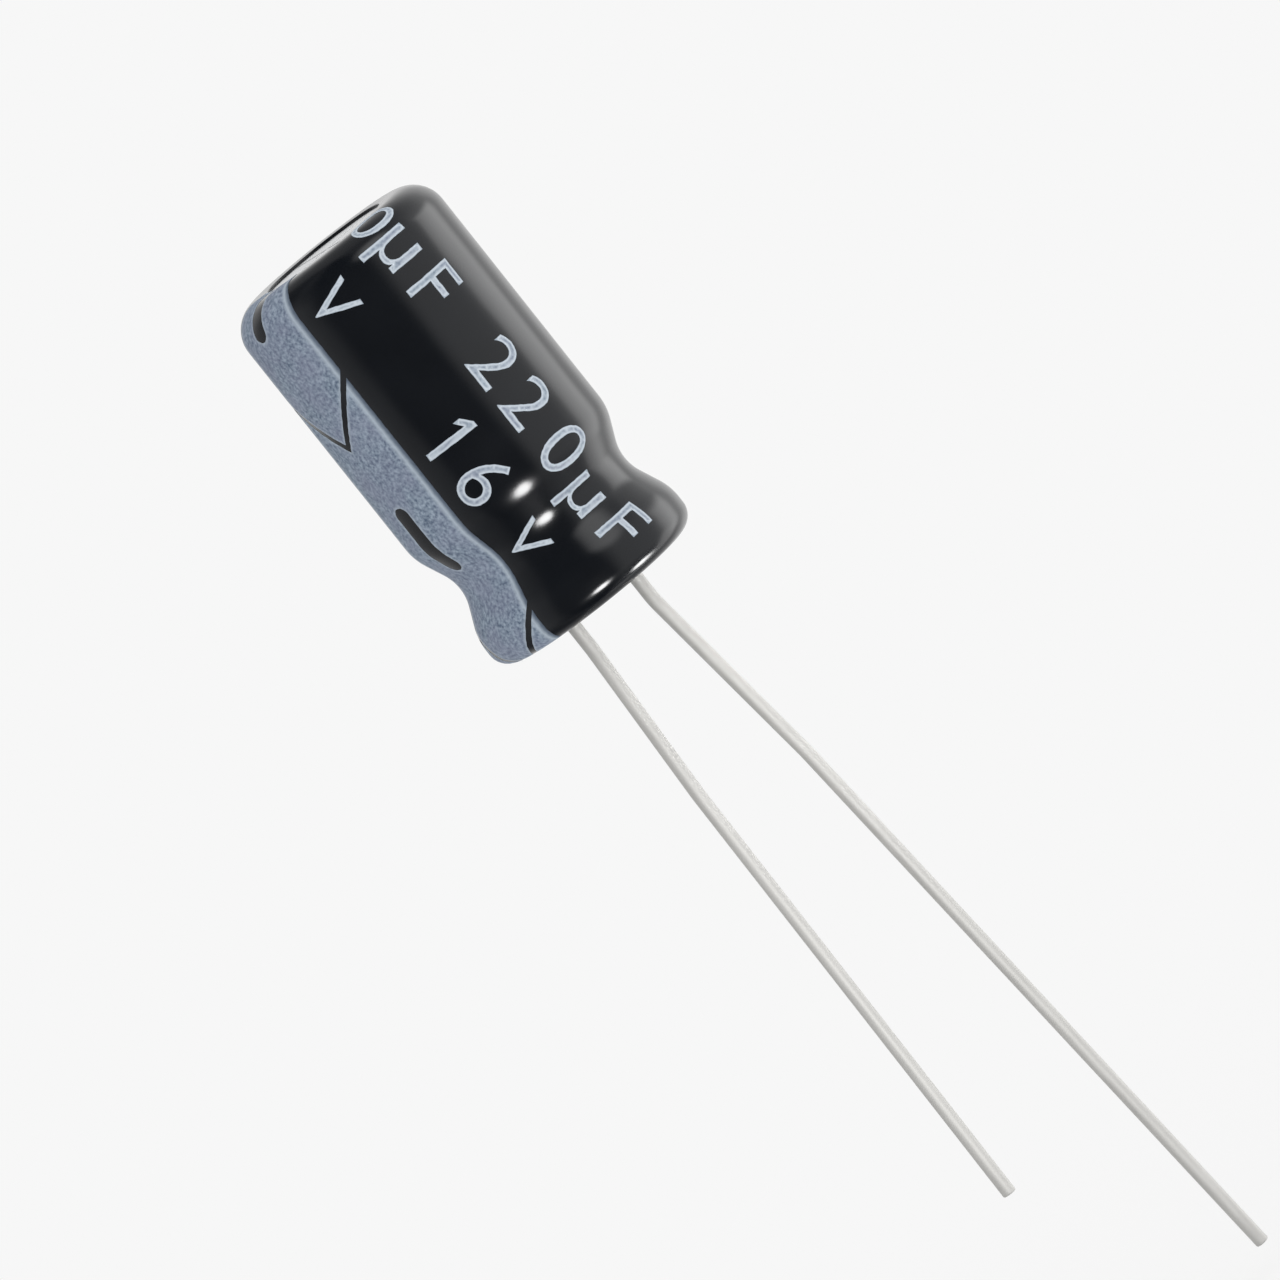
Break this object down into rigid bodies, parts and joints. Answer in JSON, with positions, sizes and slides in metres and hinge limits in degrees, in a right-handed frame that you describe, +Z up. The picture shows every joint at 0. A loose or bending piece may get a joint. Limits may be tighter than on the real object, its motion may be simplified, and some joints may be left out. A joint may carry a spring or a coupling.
{
  "type": "electrolytic capacitor",
  "caption": "Radial aluminium electrolytic capacitor: beaded round can in a black shrunk sleeve with a pale polarity stripe, on stiff tinned leads of unequal length.",
  "frame": {"origin": "midway between the leads, on the plane that the board touches", "axes": "+Z up the can towards its crown, so the leads point along -Z; +X from the cathode lead and its stripe to the anode lead"},
  "size_m": [0.0072, 0.0066, 0.0372],
  "materials": {
    "shrunk_pvc": "glossy black heat-shrunk film",
    "stripe_ink": "satin grey-blue ink",
    "drawn_aluminium": "drawn, satin",
    "bung_rubber": "moulded, matte",
    "foil_and_paper": "damp paper over etched foil",
    "film_tape": "clear yellowish film",
    "tab_aluminium": "hammered, satin",
    "tinned_wire": "hot-dipped tin, satin"
  },
  "bodies": {
    "root": {"sleeve": "shrunk_pvc", "polarity_stripe": "stripe_ink", "can": "drawn_aluminium", "bung": "bung_rubber", "winding": "foil_and_paper", "winding_tape": "film_tape", "anode_tab": "tab_aluminium", "cathode_tab": "tab_aluminium", "anode_lead": "tinned_wire", "cathode_lead": "tinned_wire"}
  },
  "joints": []
}
